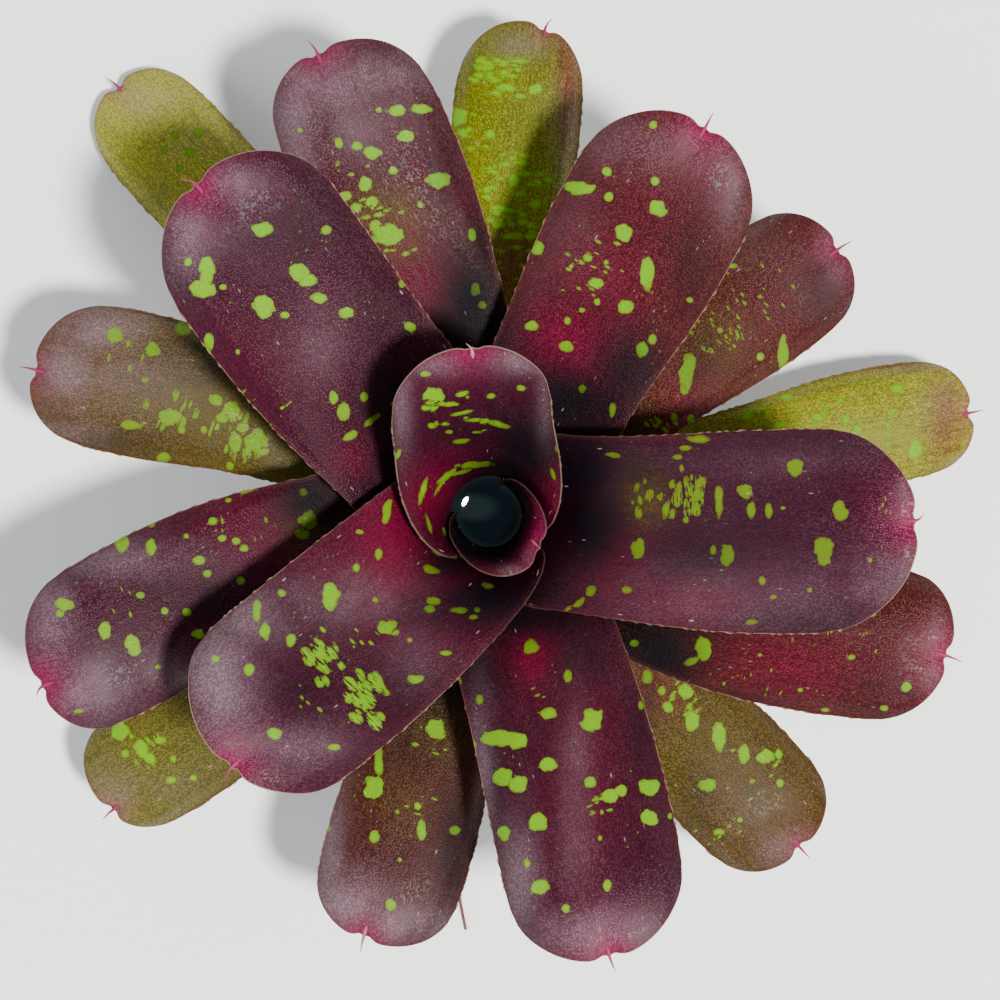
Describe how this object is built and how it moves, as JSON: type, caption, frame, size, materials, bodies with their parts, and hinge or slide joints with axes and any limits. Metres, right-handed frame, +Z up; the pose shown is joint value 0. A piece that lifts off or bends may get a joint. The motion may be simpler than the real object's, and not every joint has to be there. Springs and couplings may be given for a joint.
{
  "type": "neoregelia bromeliad",
  "caption": "Spiral rosette of broad strap leaves, dark plum with lime spots, holding water in its cup and resting on its cut stem.",
  "frame": {"origin": "middle of the flat cut at the foot of the stem, where the plant rests", "axes": "+Z up the stem and out of the cup; +X and +Y across the rosette, with the short upright leaf behind the cup towards +Y"},
  "size_m": [0.3296, 0.3177, 0.1448],
  "materials": {
    "leaf_plum": "satin waxy leaf, dark plum with lime spots",
    "leaf_red": "satin waxy leaf, deep red with small lime and orange flecks",
    "leaf_olive": "satin waxy leaf, olive green with lime spots and a red margin",
    "leaf_lime": "satin waxy leaf, yellow green with brown and red mottling",
    "stem_bark": "dry brown bark with ring scars and a paler cut",
    "root_fibre": "dry fibrous red brown root",
    "water": "still dark water"
  },
  "bodies": {
    "root": {"leaf_01": "leaf_plum", "leaf_02": "leaf_plum", "leaf_03": "leaf_plum", "leaf_04": "leaf_plum", "leaf_05": "leaf_plum", "leaf_06": "leaf_plum", "leaf_07": "leaf_plum", "leaf_08": "leaf_plum", "leaf_09": "leaf_red", "leaf_10": "leaf_plum", "leaf_11": "leaf_plum", "leaf_12": "leaf_red", "leaf_13": "leaf_olive", "leaf_14": "leaf_olive", "leaf_15": "leaf_lime", "leaf_16": "leaf_olive", "leaf_17": "leaf_lime", "leaf_18": "leaf_olive", "stem": "stem_bark", "tank_water": "water", "trailing_root": "root_fibre"}
  },
  "joints": []
}
